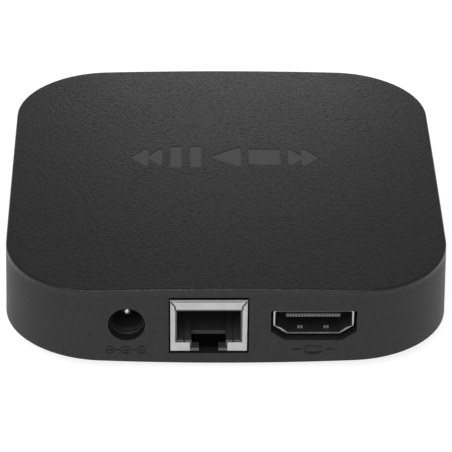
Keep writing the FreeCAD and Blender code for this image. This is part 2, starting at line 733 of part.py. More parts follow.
def hdmi_block(grow, span):
    """A straight block with the video shell's outline and its two round upper corners."""
    body = prism("y", hdmi_outline(grow), span)
    upper = []
    for edge in body.Edges:
        if edge.BoundBox.YLength > 1.0 and edge.BoundBox.ZMin > HDMI_TOP - 1:
            upper.append(edge)
    return body.makeFillet(HDMI_CORNER_R + grow, upper)


def hdmi_spring(x):
    """A spring that rises from the shell's floor and narrows to a forked, steeply bent tip."""
    floor_z = HDMI_TOP + HDMI_OUTLINE[-1][1] + HDMI_SHEET
    path = ((-35.2, floor_z - 0.1), (-38.7, floor_z + 0.5), (-39.0, floor_z + 0.12))
    spring = strip("x", path, 0.2, (x - 0.7, x + 0.7))
    left = ((x - 0.7, -35.0), (x - 0.45, -39.4), (x - 0.12, -39.4))
    right = ((x + 0.12, -39.4), (x + 0.45, -39.4), (x + 0.7, -35.0))
    outline = left + ((x, -38.5),) + right
    return spring.common(prism("z", outline, (0.0, BIG)))


def hdmi_shell():
    """The video socket's metal shell, with a seam and two springs in its floor and four tabs."""
    shell = hdmi_block(0.0, HDMI_Y)
    lower = []
    for edge in shell.Edges:
        if edge.BoundBox.YLength > 1.0 and edge.BoundBox.ZMax < HDMI_TOP - 2:
            lower.append(edge)
    shell = shell.makeFillet(0.35, lower)
    shell = shell.cut(hdmi_block(-HDMI_SHEET, (HDMI_Y[0] - 1, HDMI_Y[1] - HDMI_SHEET)))
    floor_top = HDMI_TOP + HDMI_OUTLINE[-1][1] + HDMI_SHEET + 0.1
    cuts = [block((HDMI_X - 5.2, HDMI_X + 5.2), (HDMI_Y[1] - 0.5, BIG), (0.0, HDMI_TOP - 1.2))]
    seam = ((HDMI_X, -BIG), (HDMI_X, -38.6), (HDMI_X - 0.5, -38.2), (HDMI_X - 0.5, -36.8), (HDMI_X, -36.4))
    seam += ((HDMI_X, -34.0),)
    cuts.append(strip("z", seam, HDMI_SEAM, (0.0, floor_top)))
    extras = [hdmi_spring(HDMI_X + side * 2.4) for side in (-1, 1)]
    for tab in hdmi_tab_places():
        extras.append(block_at(tab, (HDMI_SHEET / 2, HDMI_TAB_HALF), (6.2, 9.6)))
    return join([shell.cut(cuts)] + extras)


def hdmi_tab_places():
    """The places of the video shell's four tabs, in line with its side walls."""
    side = HDMI_OUTLINE[0][0] - HDMI_SHEET / 2
    return [(HDMI_X + x, y) for x in (-side, side) for y in HDMI_TABS_Y]


def hdmi_contacts(spare=0.0):
    """Nineteen contacts, ten over the tongue and nine under it, whose ends cover its front."""
    low, tip = HDMI_TONGUE_Z[0], HDMI_TONGUE_Y[0]
    half = HDMI_CONTACT_HALF + spare
    tail = ((-27.5, 7.4), (-26.6, 7.4))
    over_z, under_z = HDMI_BAND_TOP - 0.04, low + 0.06
    over = ((tip, low), (tip, over_z), (-28.0, over_z)) + tail
    under = ((tip, HDMI_BAND_TOP + 0.05), (tip, under_z), (-28.0, under_z)) + tail
    wires = []
    for i, x in enumerate(evenly(19, HDMI_PITCH, HDMI_X)):
        path = over if i % 2 == 0 else under
        wires.append(strip("x", path, 0.18 + 2 * spare, (x - half, x + half)))
    return group(wires)


def hdmi_insulator():
    """The black moulding that holds the video contacts, with grooves in its tongue's upper face."""
    inset = HDMI_SHEET + 0.05
    base = hdmi_block(-inset, (HDMI_TONGUE_Y[1], HDMI_Y[1] - inset))
    tongue_x = (HDMI_X - HDMI_TONGUE_HALF, HDMI_X + HDMI_TONGUE_HALF)
    tongue = block(tongue_x, (HDMI_TONGUE_Y[0], HDMI_TONGUE_Y[1] + 1), HDMI_TONGUE_Z)
    cuts = list(hdmi_contacts(0.02).Solids)
    for x in evenly(10, 2 * HDMI_PITCH, HDMI_X):
        groove_x = (x - HDMI_CONTACT_HALF - 0.02, x + HDMI_CONTACT_HALF + 0.02)
        cuts.append(block(groove_x, HDMI_GROOVE_Y, (HDMI_BAND_TOP, HDMI_TOP)))
    return join([base, tongue]).cut(cuts)


def dc_housing():
    """The power socket's block, with its bore, a slot for the spring and two board ears."""
    x = (DC_X - DC_HALF, DC_X + DC_HALF)
    body = block(x, DC_Y, (DC_Z - DC_HALF, DC_Z + DC_HALF))
    edges = [e for e in body.Edges if e.BoundBox.YLength > 1.0 and e.BoundBox.ZMin > DC_Z]
    body = body.makeFillet(0.8, edges)
    ears = block((x[0] - 1.3, x[1] + 1.3), (-34.0, -29.0), (BOARD_Z[1] + 0.05, 8.4))
    cuts = [rod("y", DC_BORE_R, (DC_X, DC_Z), (-BIG, DC_BORE_BACK))]
    cuts.append(rod("y", DC_PIN_R, (DC_X, DC_Z), (-BIG, 0.0)))
    cuts.append(block((DC_X - 1.4, DC_X + 1.4), (-38.9, -20.0), (12.8, 13.8)))
    cuts.append(rod("y", DC_MOUTH_R, (DC_X, DC_Z), (-BIG, DC_STEP_Y)))
    step = V(DC_X, DC_STEP_Y, DC_Z)
    cuts.append(Part.makeCone(DC_MOUTH_R, DC_BORE_R, DC_STEP_LENGTH, step, AXES["y"]))
    front = V(DC_X, DC_Y[0], DC_Z)
    cuts.append(Part.makeCone(DC_MOUTH_R + DC_CHAMFER, DC_MOUTH_R, DC_CHAMFER, front, AXES["y"]))
    return join([body, ears]).cut(cuts)


def dc_pin():
    """The power socket's centre pin, with a rounded tip and a riveted end."""
    pin = rod("y", DC_PIN_R, (DC_X, DC_Z), (DC_PIN_TIP + DC_PIN_R, DC_Y[1] + 0.4))
    tip = Part.makeSphere(DC_PIN_R, V(DC_X, DC_PIN_TIP + DC_PIN_R, DC_Z))
    rivet = rod("y", DC_PIN_R + 0.4, (DC_X, DC_Z), (DC_Y[1] + 0.02, DC_Y[1] + 0.4))
    return join([pin, tip, rivet])


def dc_spring_contact():
    """The leaf spring that presses on a plug's sleeve."""
    path = ((-26.9, 7.4), (-27.3, 7.4), (-27.3, 13.45), (-35.2, 13.45), (-37.2, 12.65), (-38.5, 13.2))
    return strip("x", path, 0.3, (DC_X - 1.1, DC_X + 1.1))


def usb_shell(y):
    """A USB socket's metal shell with springs in its roof and floor."""
    box = block(USB_X, (y - USB_HALF, y + USB_HALF), USB_Z)
    inside_y = (y - USB_HALF + USB_SHEET, y + USB_HALF - USB_SHEET)
    inside_z = (USB_Z[0] + USB_SHEET, USB_Z[1] - USB_SHEET)
    hollow = block((USB_X[0] - 1, USB_X[1] - USB_SHEET), inside_y, inside_z)
    long_edges = [e for e in box.Edges if e.BoundBox.XLength > 1.0]
    shell = box.makeFillet(0.5, long_edges).cut(hollow)
    shell = shell.cut(block((USB_X[1] - 0.5, 0.0), (y - 4.5, y + 4.5), (0.0, 10.8)))
    springs = []
    for side in (-1, 1):
        spring_y = (y + side * 3.2 - 0.9, y + side * 3.2 + 0.9)
        floor_path = ((-35.0, inside_z[0] - 0.1), (-38.4, inside_z[0] + 0.55), (-39.2, inside_z[0] + 0.3))
        roof_path = ((-35.0, inside_z[1] + 0.1), (-38.4, inside_z[1] - 0.45), (-39.2, inside_z[1] - 0.2))
        springs.append(strip("y", floor_path, 0.2, spring_y))
        springs.append(strip("y", roof_path, 0.2, spring_y))
    return join([shell] + springs)


def usb_contacts(y, spare=0.0):
    """Four contacts under a USB socket's tongue."""
    path = ((-38.9, 10.35), (-27.8, 10.35), (-26.4, 10.35), (-26.0, 7.4), (-25.2, 7.4))
    half = 0.5 + spare
    wires = []
    for wire_y in (y - 3.5, y - 1.0, y + 1.0, y + 3.5):
        wires.append(strip("y", path, 0.2 + 2 * spare, (wire_y - half, wire_y + half)))
    return group(wires)


def usb_insulator(y):
    """The moulding in a USB socket, with its tongue."""
    gap = USB_SHEET + 0.05
    base_y = (y - USB_HALF + gap, y + USB_HALF - gap)
    base = block((-31.5, USB_X[1] - gap), base_y, (USB_Z[0] + gap, USB_Z[1] - gap))
    tongue = block((-39.4, -31.0), (y - 5.6, y + 5.6), (10.25, 12.0))
    return join([base, tongue]).cut(usb_contacts(y, 0.02).Solids)


# ---------------------------------------------------------------- card slot

def card_slot_base():
    """The card slot's floor, side rails and rear wall."""
    x = CARD_X
    y = (CARD_Y - CARD_HALF, CARD_Y + CARD_HALF)
    roof_z = CARD_Z[1] - CARD_SHEET - 0.03
    plate = block(x, y, (CARD_Z[0], CARD_Z[0] + 0.4))
    rails = [block(x, (edge, edge + 0.6), (CARD_Z[0], roof_z)) for edge in (y[0], y[1] - 0.6)]
    rear = block((x[1] - 0.7, x[1]), y, (CARD_Z[0], roof_z))
    slots = [block((-34.0, BIG), (wire_y - 0.35, wire_y + 0.35), (7.6, 8.3)) for wire_y in card_wires()]
    return join([plate, rear] + rails).cut(slots)


def card_wires():
    """The places across the slot of its eight contacts."""
    return evenly(8, 1.1, CARD_Y - 1.2)


def card_slot_contacts():
    """Eight contacts that rise from the card slot's floor."""
    path = ((-23.4, 7.4), (-24.2, 7.4), (-24.35, 7.75), (-31.0, 7.75), (-33.0, 8.2), (-33.8, 8.0))
    return group([strip("y", path, 0.14, (y - 0.3, y + 0.3)) for y in card_wires()])


def card_slot_shell():
    """The card slot's metal cover, folded down on both sides."""
    y = (CARD_Y - CARD_HALF - 0.03 - CARD_SHEET, CARD_Y + CARD_HALF + 0.03 + CARD_SHEET)
    cover = block(CARD_X, y, (CARD_Z[0], CARD_Z[1]))
    hollow = block((-BIG, BIG), (y[0] + CARD_SHEET, y[1] - CARD_SHEET), (0.0, CARD_Z[1] - CARD_SHEET))
    return cover.cut(hollow)


def card_slot_slider():
    """The slider that the card's end pushes inwards, to latch and to release it."""
    y = CARD_Y + CARD_HALF - 1.9
    z = (CARD_Z[0] + 0.7, CARD_Z[0] + 1.3)
    bar = block((-35.0, -29.6), (y, y + 1.0), z)
    arm = block((-30.4, -29.6), (y - 4.2, y + 0.1), z)
    return join([bar, arm])


def card_slot_spring():
    """The fine wire spring between the slider and the slot's rear wall."""
    wire_r, coil_r = 0.05, 0.22
    start, end = -29.6 + 0.06, CARD_X[1] - 0.7 - 0.06
    pitch = (end - start) / 12
    helix = Part.makeHelix(pitch, end - start, coil_r)
    section = Part.Wire(Part.makeCircle(wire_r, V(coil_r, 0, 0), V(0, 1, 0)))
    coil = Part.Wire(helix).makePipeShell([section], True, True)
    coil.rotate(V(0, 0, 0), V(0, 1, 0), 90)
    coil.translate(V(start, CARD_Y + CARD_HALF - 1.4, CARD_Z[0] + 1.0))
    return coil


# ---------------------------------------------------------------- reset switch

def reset_switch_body():
    """The reset switch's case, hollow, with a hole below for its plunger."""
    body = block_at(RESET, (RESET_HALF, RESET_HALF), (RESET_Z, BOARD_Z[0]))
    cavity = rod("z", 1.9, RESET, (RESET_Z + 0.25, BOARD_Z[0] - 0.15))
    hole = rod("z", PLUNGER_R + PLUNGER_FIT, RESET, (0.0, RESET_Z + 1))
    return body.cut([cavity, hole])


def reset_dome():
    """The snap dome above the plunger, as a shallow dish resting on the cavity's roof."""
    top = BOARD_Z[0] - 0.16
    outer = Part.makeCone(0.9, 1.7, 0.25, V(RESET[0], RESET[1], top - 0.25))
    inner = Part.makeCone(0.9, 1.7, 0.25, V(RESET[0], RESET[1], top - 0.15))
    return outer.cut(inner)


def reset_plunger():
    """The plunger that a pin pushes up, held in the switch by its flange."""
    stem = rod("z", PLUNGER_R, RESET, (RESET_Z - 0.65, RESET_Z + 0.75))
    flange = rod("z", 1.2, RESET, (RESET_Z + 0.3, RESET_Z + 0.6))
    return join([stem, flange])


# ---------------------------------------------------------------- all sub-parts

def build():
    """Make every sub-part and write it out."""
    os.makedirs("parts", exist_ok=True)
    save("top_shell", top_shell())
    save("bottom_cover", bottom_cover())
    save("rubber_feet", rubber_feet())
    save("rating_label", rating_label())
    save("case_screws", case_screws())
    save("board_screws", board_screws())
    save("front_window", front_window())

    save("main_board", main_board())
    save("processor", processor())
    save("thermal_pad", thermal_pad())
    save("heat_sink", heat_sink())
    save("memory_chips", group([chip((22.5, y), (4.5, 5.0), 1.0) for y in (-9.5, 3.0)]))
    save("flash_chip", chip((3.0, 20.5), (5.8, 5.0), 1.0))
    save("power_chips", group([chip(spot, (2.5, 2.5), 0.9) for spot in ((-13.5, 4.6), (-22.0, 6.0))]))
    save("crystal", chip((13.0, 18.0), (1.6, 1.25), 0.7))
    save("inductors", inductors())
    save("filter_capacitors", filter_capacitors())
    save("chip_capacitors", chip_capacitors())
    save("wifi_board", chip((24.0, 20.5), (6.0, 6.0), 0.8))
    save("wifi_shield", block_at((24.0, 20.5), (5.4, 5.4), (BOARD_Z[1] + 0.8, BOARD_Z[1] + 2.1)))
    save("wifi_antenna", wifi_antenna())
    save("ir_receiver", ir_receiver())
    save("status_led", status_led())

    save("lan_shield", lan_shield())
    save("lan_insert", lan_insert())
    save("lan_contacts", lan_contacts())
    save("lan_transformer", lan_transformer())
    save("hdmi_shell", hdmi_shell())
    save("hdmi_insulator", hdmi_insulator())
    save("hdmi_contacts", hdmi_contacts())
    save("dc_housing", dc_housing())
    save("dc_pin", dc_pin())
    save("dc_spring_contact", dc_spring_contact())
    for number, y in enumerate(USB_Y, start=1):
        save("usb%d_shell" % number, usb_shell(y))
        save("usb%d_insulator" % number, usb_insulator(y))
        save("usb%d_contacts" % number, usb_contacts(y))

    save("card_slot_base", card_slot_base())
    save("card_slot_contacts", card_slot_contacts())
    save("card_slot_shell", card_slot_shell())
    save("card_slot_slider", card_slot_slider())
    save("card_slot_spring", card_slot_spring())
    save("reset_switch_body", reset_switch_body())
    save("reset_dome", reset_dome())
    save("reset_plunger", reset_plunger())


build()
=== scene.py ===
import math

import bmesh
import bpy
from mathutils import Matrix, Vector


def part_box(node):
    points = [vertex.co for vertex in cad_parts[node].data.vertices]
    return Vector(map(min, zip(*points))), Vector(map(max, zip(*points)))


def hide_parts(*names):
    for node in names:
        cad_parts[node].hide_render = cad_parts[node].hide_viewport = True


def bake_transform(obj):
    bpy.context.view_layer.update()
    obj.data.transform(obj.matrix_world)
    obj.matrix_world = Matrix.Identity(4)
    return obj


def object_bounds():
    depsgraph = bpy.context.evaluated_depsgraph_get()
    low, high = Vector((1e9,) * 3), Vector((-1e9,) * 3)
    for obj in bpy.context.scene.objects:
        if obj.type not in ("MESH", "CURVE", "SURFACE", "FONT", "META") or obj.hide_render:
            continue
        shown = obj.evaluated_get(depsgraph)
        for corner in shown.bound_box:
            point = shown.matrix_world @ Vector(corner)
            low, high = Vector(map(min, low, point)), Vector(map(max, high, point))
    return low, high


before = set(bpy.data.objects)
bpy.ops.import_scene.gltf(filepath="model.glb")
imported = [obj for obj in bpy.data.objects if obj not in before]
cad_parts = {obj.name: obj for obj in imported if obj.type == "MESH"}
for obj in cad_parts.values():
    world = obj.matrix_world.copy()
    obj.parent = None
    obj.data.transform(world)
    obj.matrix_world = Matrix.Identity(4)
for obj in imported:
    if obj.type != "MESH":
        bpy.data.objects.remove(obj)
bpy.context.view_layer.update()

# The looks of a small square media player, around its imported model. Lengths are in metres, except
# where a comment or a name says millimetres.

MM = 0.001
X_AXIS, Y_AXIS = 0, 1

# The roof is part of a large ball. The sign on it is a polished floor a little below that ball.
DOME_RADIUS = 0.851
SIGN_CENTRE = (0.24 * MM, 4.6 * MM)
SIGN_HALF = (19.2 * MM, 4.7 * MM)
SIGN_DROP = (0.045 * MM, 0.2 * MM)
ROOF_DROP = (0.5 * MM, 1.5 * MM)    # from the roof's grain to the walls' finer grain
GRAIN_DEPTH = (0.009, 0.055)        # on the walls and on the roof, in millimetres

# Places inside the sockets, in millimetres
SPRING_SPAN = (1.9, 2.9)      # the tips of the video shell's springs, beside its middle
SPRING_DEPTH = (0.9, 1.6)     # the same tips, behind the shell's mouth
SPRING_DROP = (4.85, 4.0)     # and below its top
CATCH_HALF = 3.49             # half the opening for the network plug's catch
CATCH_LIP_TOP = 4.92          # the shield's front stands this high beside its notch
CREASE_Z = 14.9               # above it, the shield's front is rounded
BEND_DEPTH = 0.3              # the shield's front is this deep, before its walls begin
STEP_TOP = 5.19               # the step behind the channel for the catch
LEDGE_BACK = -39.4            # the low ledges on both sides of that channel end here

# Label and feet, in millimetres
PRINTED_LINE = (1.0, 1.25)    # the printed frame's outer and inner edge, from the label's edge
PRINT_BLUR = 0.05
FOOT_RADIUS = 4.5
RING_STEP = 0.3               # width of the rising and of the falling side of a moulded ring

# Light
TABLE_HALF = 6.0
TABLE_TONE = (0.42, 0.45)     # the table's own darkest and palest grey
TABLE_GLOW = 0.82             # it is lit from below as well
SKY_EDGE = (0.2, 0.42)        # heights, as sines, between which the surround gets dimmer
SKY_STRENGTH = (0.44, 0.335)
SOFTBOXES = (                 # name, place, aim, side and power in watts
    ("key", (-0.35, -1.05, 1.35), (0.0, 0.0, 0.0), 0.9, 13.0),
    ("fill", (0.05, -1.5, 0.7), (0.0, 0.0, 0.0), 0.5, 3.0),
    ("rear", (0.01, 0.3, 0.088), (0.0, 0.035, 0.018), 0.1, 0.037),
)

# Camera
VIEW_TARGET = Vector((0.33 * MM, -6.35 * MM, 9.51 * MM))
VIEW_DISTANCE = 0.5452
VIEW_AZIMUTH = math.radians(-1.41)
VIEW_ELEVATION = math.radians(31.98)
VIEW_ROLL = math.radians(0.72)
SENSOR_WIDTH = 36.0
LENS = 223.63
NEAREST = 0.01                # anything closer to the camera isn't shown


def grey(tone):
    """A colour with three equal parts."""
    return (tone, tone, tone)


# ---------------------------------------------------------------- node materials

class Finish:
    """A material on the Principled shader, with patterns in millimetres of the object's own space."""

    def __init__(self, name, **settings):
        self.material = bpy.data.materials.new(name)
        self.material.use_nodes = True
        self.tree = self.material.node_tree
        self.shader = self.tree.nodes["Principled BSDF"]
        for socket, value in settings.items():
            self.shader.inputs[socket.replace("_", " ")].default_value = value

    def node(self, kind, **settings):
        """A new node with its settings."""
        node = self.tree.nodes.new(kind)
        for key, value in settings.items():
            setattr(node, key, value)
        return node

    def feed(self, socket, value):
        """Give a socket a number, a vector or another node's output."""
        if isinstance(value, bpy.types.NodeSocket):
            self.tree.links.new(value, socket)
        else:
            socket.default_value = value

    def place(self, stretch=(1.0, 1.0, 1.0)):
        """The point in the object's own space, in millimetres, stretched along its axes."""
        point = self.node("ShaderNodeTexCoord").outputs["Object"]
        scaled = self.node("ShaderNodeVectorMath", operation="MULTIPLY")
        self.feed(scaled.inputs[0], point)
        self.feed(scaled.inputs[1], [s / MM for s in stretch])
        return scaled.outputs[0]

    def axes(self):
        """The three coordinates in the object's own space, in millimetres."""
        split = self.node("ShaderNodeSeparateXYZ")
        self.feed(split.inputs[0], self.place())
        return split.outputs[0], split.outputs[1], split.outputs[2]

    def within(self, value, low, high):
        """1 where value lies between low and high, 0 elsewhere."""
        soft = 0.02
        rises = self.spread(value, 0.0, 1.0, low - soft, low + soft)
        falls = self.spread(value, 1.0, 0.0, high - soft, high + soft)
        return self.maths("MULTIPLY", rises, falls)

    def noise(self, place, per_mm, detail=3.0, roughness=0.55, distortion=0.0):
        """Clouds from 0 to 1, about per_mm of them to a millimetre."""
        node = self.node("ShaderNodeTexNoise")
        self.feed(node.inputs["Vector"], place)
        self.feed(node.inputs["Scale"], per_mm)
        self.feed(node.inputs["Detail"], detail)
        self.feed(node.inputs["Roughness"], roughness)
        self.feed(node.inputs["Distortion"], distortion)
        return node.outputs["Fac"]

    def cells(self, place, per_mm):
        """Rounded hollows around scattered points, about per_mm of them to a millimetre."""
        node = self.node("ShaderNodeTexVoronoi", feature="SMOOTH_F1")
        self.feed(node.inputs["Vector"], place)
        self.feed(node.inputs["Scale"], per_mm)
        return node.outputs["Distance"]

    def maths(self, operation, first, second=0.0):
        """The result of one operation on one or two numbers."""
        node = self.node("ShaderNodeMath", operation=operation)
        self.feed(node.inputs[0], first)
        self.feed(node.inputs[1], second)
        return node.outputs[0]

    def spread(self, value, low, high, start=0.3, end=0.7):
        """Turn the part of value between start and end into low to high."""
        node = self.node("ShaderNodeMapRange")
        for socket, number in zip(node.inputs, (value, start, end, low, high)):
            self.feed(socket, number)
        return node.outputs[0]

    def blend(self, share, first, second):
        """A colour between two colours."""
        node = self.node("ShaderNodeMix", data_type="RGBA")
        self.feed(node.inputs["Factor"], share)
        for socket, colour in zip((node.inputs[6], node.inputs[7]), (first, second)):
            if isinstance(colour, bpy.types.NodeSocket):
                self.feed(socket, colour)
            else:
                self.feed(socket, (*colour, 1.0))
        return node.outputs[2]

    def mix(self, share, first, second):
        """A number between two numbers."""
        node = self.node("ShaderNodeMix", data_type="FLOAT")
        sockets = (node.inputs[0], node.inputs[2], node.inputs[3])
        for socket, value in zip(sockets, (share, first, second)):
            self.feed(socket, value)
        return node.outputs[0]

    def colour(self, value):
        """The shader's colour, from another node."""
        self.feed(self.shader.inputs["Base Color"], value)

    def roughness(self, value):
        """The shader's roughness, from another node or as a number."""
        self.feed(self.shader.inputs["Roughness"], value)

    def relief(self, height, depth_mm):
        """Bumps as deep as depth_mm where height runs from 0 to 1."""
        bump = self.node("ShaderNodeBump")
        self.feed(bump.inputs["Strength"], 1.0)
        self.feed(bump.inputs["Distance"], depth_mm * MM)
        self.feed(bump.inputs["Height"], height)
        self.feed(self.shader.inputs["Normal"], bump.outputs["Normal"])


def depth_below_dome(finish, point):
    """How far a point lies under the ball that the roof is part of, in metres."""
    centre = (0.0, 0.0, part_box("top_shell")[1].z - DOME_RADIUS)
    distance = finish.node("ShaderNodeVectorMath", operation="DISTANCE")
    finish.feed(distance.inputs[0], point)
    finish.feed(distance.inputs[1], centre)
    return finish.maths("SUBTRACT", DOME_RADIUS, distance.outputs["Value"])


def sign_mask(finish, point, depth):
    """1 on the polished sign in the roof, 0 elsewhere."""
    inside = finish.maths("GREATER_THAN", depth, SIGN_DROP[0])
    inside = finish.maths("MULTIPLY", inside, finish.maths("LESS_THAN", depth, SIGN_DROP[1]))
    split = finish.node("ShaderNodeSeparateXYZ")
    finish.feed(split.inputs[0], point)
    for axis in (X_AXIS, Y_AXIS):
        offset = finish.maths("SUBTRACT", split.outputs[axis], SIGN_CENTRE[axis])
        near = finish.maths("LESS_THAN", finish.maths("ABSOLUTE", offset), SIGN_HALF[axis])
        inside = finish.maths("MULTIPLY", inside, near)
    return inside


def top_finish():
    """Dark moulded plastic: leathery grain on the roof, finer grain on the walls, a polished sign
    painted paler as a painted sheen.
    """
    finish = Finish("case_top", IOR=1.48, Specular_IOR_Level=0.4)
    point = finish.node("ShaderNodeTexCoord").outputs["Object"]
    depth = depth_below_dome(finish, point)
    sign = sign_mask(finish, point, depth)
    roof = finish.spread(depth, 1.0, 0.0, *ROOF_DROP)
    unmarked = finish.maths("SUBTRACT", 1.0, sign)
    deepness = finish.maths("MULTIPLY", unmarked, finish.mix(roof, *GRAIN_DEPTH))

    place = finish.place()
    hills = finish.noise(place, 1.8, detail=2.0, roughness=0.55, distortion=0.7)
    cells = finish.cells(place, 2.1)
    fine = finish.noise(place, 6.0, detail=3.0, roughness=0.6)
    cloud = finish.noise(place, 0.06, detail=3.0)
    grain = finish.maths("ADD", hills, finish.maths("MULTIPLY", cells, 0.7))
    pores = finish.maths("MULTIPLY", fine, finish.maths("MULTIPLY", unmarked, 0.011))
    height = finish.maths("ADD", finish.maths("MULTIPLY", grain, deepness), pores)

    low_grain, high_grain = 0.6, 1.1
    share = finish.spread(grain, 0.0, 1.0, low_grain, high_grain)
    tone = finish.blend(share, (0.0125, 0.0125, 0.0126), grey(0.005))
    # The sign's paler tone is a painted sheen, for the light its polished floor reflects.
    tone = finish.blend(sign, tone, (0.048, 0.048, 0.0483))
    rough = finish.spread(grain, 0.33, 0.5, low_grain, high_grain)
    rough = finish.mix(roof, finish.spread(fine, 0.52, 0.6), rough)
    rough = finish.maths("ADD", rough, finish.spread(cloud, -0.02, 0.02))
    rough = finish.mix(sign, rough, 0.36)
    finish.colour(tone)
    finish.roughness(rough)
    finish.relief(height, 1.0)
    return finish.material


def bottom_finish():
    """The plainer lower moulding, with a fine spark-eroded grain."""
    finish = Finish("case_bottom", IOR=1.48)
    place = finish.place()
    fine = finish.noise(place, 4.0, detail=4.0, roughness=0.65)
    cloud = finish.noise(place, 0.08, detail=4.0)
    share = finish.spread(fine, 0.0, 1.0)
    finish.colour(finish.blend(share, (0.009, 0.009, 0.0092), (0.014, 0.014, 0.0143)))
    rough = finish.spread(fine, 0.42, 0.52)
    finish.roughness(finish.maths("ADD", rough, finish.spread(cloud, -0.03, 0.03)))
    finish.relief(fine, 0.02)
    return finish.material


def plastic_finish(name, dark, light, rough, grain_mm=0.006, shine=0.5):
    """Plain moulded plastic with a faint grain."""
    finish = Finish(name, IOR=1.5, Specular_IOR_Level=shine)
    place = finish.place()
    cloud = finish.noise(place, 0.6, detail=4.0)
    fine = finish.noise(place, 12.0, detail=2.0)
    finish.colour(finish.blend(finish.spread(cloud, 0.0, 1.0), dark, light))
    finish.roughness(finish.spread(cloud, rough - 0.06, rough + 0.06))
    finish.relief(fine, grain_mm)
    return finish.material


def metal_finish(name, dark, light, rough, lines=(1.0, 1.0, 1.0), painted_shade_zones=()):
    """Satin metal with fine lines, stretched along the axis whose factor is small, and faint stains.

    The last argument lists pairs of a mask maker and a tone: where a mask is 1 the metal is rougher
    and takes that darker tone, which is painted shade.
    """
    finish = Finish(name, Metallic=1.0)
    stains = finish.noise(finish.place(), 0.5, detail=5.0, roughness=0.65)
    brushed = finish.noise(finish.place(lines), 10.0, detail=3.0)
    tone = finish.blend(finish.spread(stains, 0.0, 1.0), dark, light)
    tone = finish.blend(finish.spread(brushed, 0.0, 0.16, 0.35, 0.75), tone, dark)
    both = finish.maths("MULTIPLY", finish.maths("ADD", stains, brushed), 0.5)
    roughness = finish.spread(both, rough - 0.07, rough + 0.09)
    # Painted shade: each masked zone gets a darker tone for the shade in creases, lips and hollows.
    for mask_maker, painted_shade_tone in painted_shade_zones:
        mask = mask_maker(finish)
        tone = finish.blend(mask, tone, grey(painted_shade_tone))
        roughness = finish.mix(mask, roughness, 0.5)
    finish.colour(tone)
    finish.roughness(roughness)
    finish.relief(brushed, 0.002)
    return finish.material


def inside_of(node, axis, rim_mm):
    """A mask maker: 1 deeper than rim_mm inside a shell whose mouth is at the low end of an axis."""
    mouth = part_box(node)[0][axis] / MM

    def mask(finish):
        return finish.spread(finish.axes()[axis], 0.0, 1.0, mouth + rim_mm, mouth + rim_mm + 0.1)
    return mask


def beside_middle(finish, node):
    """How far a point lies to either side of a node's middle, in millimetres."""
    low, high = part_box(node)
    x = finish.axes()[0]
    return finish.maths("ABSOLUTE", finish.maths("SUBTRACT", x, (low.x + high.x) / 2 / MM))


def video_spring_tips(finish):
    """1 on the steep tips of the two springs in the video shell."""
    low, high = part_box("hdmi_shell")
    mouth, top = low.y / MM, high.z / MM
    _, y, z = finish.axes()
    tip = finish.within(beside_middle(finish, "hdmi_shell"), *SPRING_SPAN)
    tip = finish.maths("MULTIPLY", tip, finish.within(y, *[mouth + depth for depth in SPRING_DEPTH]))
    return finish.maths("MULTIPLY", tip, finish.within(z, *[top - drop for drop in SPRING_DROP]))


def network_shield_lip(finish):
    """1 on the low lip of the network shield's front, beside the notch for the plug's catch."""
    _, _, z = finish.axes()
    beside = finish.within(beside_middle(finish, "lan_shield"), -1.0, CATCH_HALF - 0.02)
    return finish.maths("MULTIPLY", beside, finish.within(z, 0.0, CATCH_LIP_TOP))


def network_shield_inside(finish):
    """1 inside the network shield."""
    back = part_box("lan_shield")[0].y / MM + BEND_DEPTH
    return finish.spread(finish.axes()[Y_AXIS], 0.0, 1.0, back, back + 0.05)


def network_shield_fold(finish):
    """1 on the rounded upper edge of the network shield's front."""
    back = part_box("lan_shield")[0].y / MM + BEND_DEPTH
    _, y, z = finish.axes()
    above = finish.spread(z, 0.0, 1.0, CREASE_Z, CREASE_Z + 0.04)
    return finish.maths("MULTIPLY", above, finish.spread(y, 1.0, 0.0, back, back + 0.1))


def network_insert_finish():
    """Black nylon with painted light and shade: lighter on its front and its step, darker in the
    depth of the mouth.
    """
    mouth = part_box("lan_insert")[0].y / MM
    finish = Finish("network_insert", IOR=1.5)
    place = finish.place()
    cloud = finish.noise(place, 0.8, detail=4.0)
    fine = finish.noise(place, 9.0, detail=2.0)
    _, y, z = finish.axes()
    aside = beside_middle(finish, "lan_insert")
    tone = finish.blend(finish.spread(cloud, 0.0, 1.0), grey(0.03), grey(0.042))
    sides = finish.spread(aside, 0.0, 1.0, CATCH_HALF - 0.2, CATCH_HALF)
    below_step = finish.spread(z, 1.0, 0.0, STEP_TOP, STEP_TOP + 0.01)
    before_channel = finish.spread(y, 1.0, 0.0, LEDGE_BACK, LEDGE_BACK + 0.1)
    ledge = finish.maths("MULTIPLY", below_step, before_channel)
    front = finish.spread(y, 1.0, 0.0, mouth + 0.21, mouth + 0.25)
    # Painted light and shade: the front, the step, the sides and the ledges get paler tones for the
    # light they catch, and the deep middle stays darkest as painted shade.
    for zone, painted_tone in ((sides, 0.042), (below_step, 0.085), (ledge, 0.038), (front, 0.065)):
        tone = finish.blend(zone, tone, grey(painted_tone))
    finish.colour(tone)
    finish.roughness(finish.spread(cloud, 0.4, 0.52))
    finish.relief(fine, 0.006)
    return finish.material


